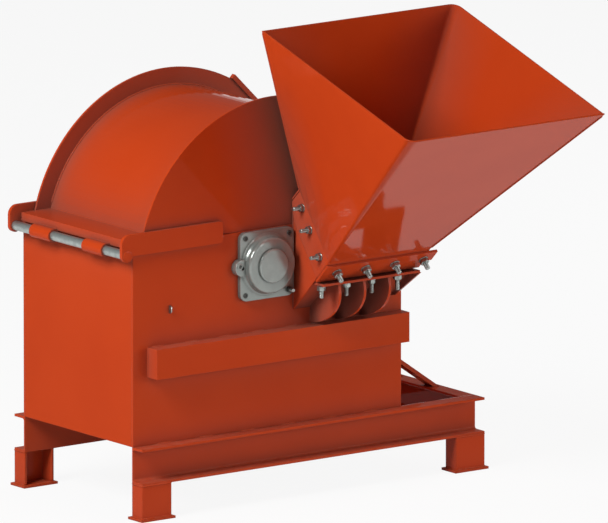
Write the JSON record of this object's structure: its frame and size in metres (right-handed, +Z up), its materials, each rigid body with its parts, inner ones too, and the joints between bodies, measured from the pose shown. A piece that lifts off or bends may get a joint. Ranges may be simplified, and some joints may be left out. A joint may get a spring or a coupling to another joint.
{
  "type": "biomass crusher",
  "caption": "Welded plate crusher on a channel frame, with a hinged round cover, flanged bearings and a flared hopper bolted to a sloping side chute.",
  "frame": {"origin": "middle of the machine's footprint box, on the floor", "axes": "+X along the housing away from the cover's hinge, +Y away from the hopper, +Z up"},
  "size_m": [1.7816, 1.912, 1.9369],
  "materials": {
    "orange_paint": "semi-gloss enamel",
    "cast_grey": "satin",
    "bright_steel": "satin"
  },
  "bodies": {
    "machine": {"near_frame_channel": "orange_paint", "far_frame_channel": "orange_paint", "end_cross_channel": "orange_paint", "mid_cross_channel": "orange_paint", "near_left_leg": "orange_paint", "near_right_leg": "orange_paint", "far_left_leg": "orange_paint", "far_right_leg": "orange_paint", "near_left_foot": "orange_paint", "near_right_foot": "orange_paint", "far_left_foot": "orange_paint", "far_right_foot": "orange_paint", "near_brace": "orange_paint", "far_brace": "orange_paint", "near_side_plate": "orange_paint", "far_side_plate": "orange_paint", "left_end_plate": "orange_paint", "right_end_plate": "orange_paint", "near_rail": "orange_paint", "far_rail": "orange_paint", "near_hinge_bracket": "orange_paint", "far_hinge_bracket": "orange_paint", "hinge_rod": "bright_steel", "near_bearing_housing": "cast_grey", "far_bearing_housing": "cast_grey", "near_bearing_cap": "cast_grey", "far_bearing_cap": "cast_grey", "rotor_shaft": "bright_steel", "rotor_disc": "bright_steel", "chute_left_cheek": "orange_paint", "chute_right_cheek": "orange_paint", "chute_floor": "orange_paint", "chute_roof": "orange_paint", "hopper_clamp_bar": "orange_paint", "hopper_left_near_sheet": "orange_paint", "hopper_far_right_sheet": "orange_paint"},
    "cover": {"cover_near_plate": "orange_paint", "cover_far_plate": "orange_paint", "cover_near_rim_bar": "orange_paint", "cover_far_rim_bar": "orange_paint", "cover_shell": "orange_paint", "cover_back_sheet": "orange_paint", "cover_hinge_strip": "orange_paint"}
  },
  "joints": [
    {"name": "cover_hinge", "type": "hinge", "parent": "machine", "child": "cover", "pos_m": [-0.8632, 0.508, 1.0789], "axis": [0, -1, 0], "range_deg": [0, 95]}
  ]
}
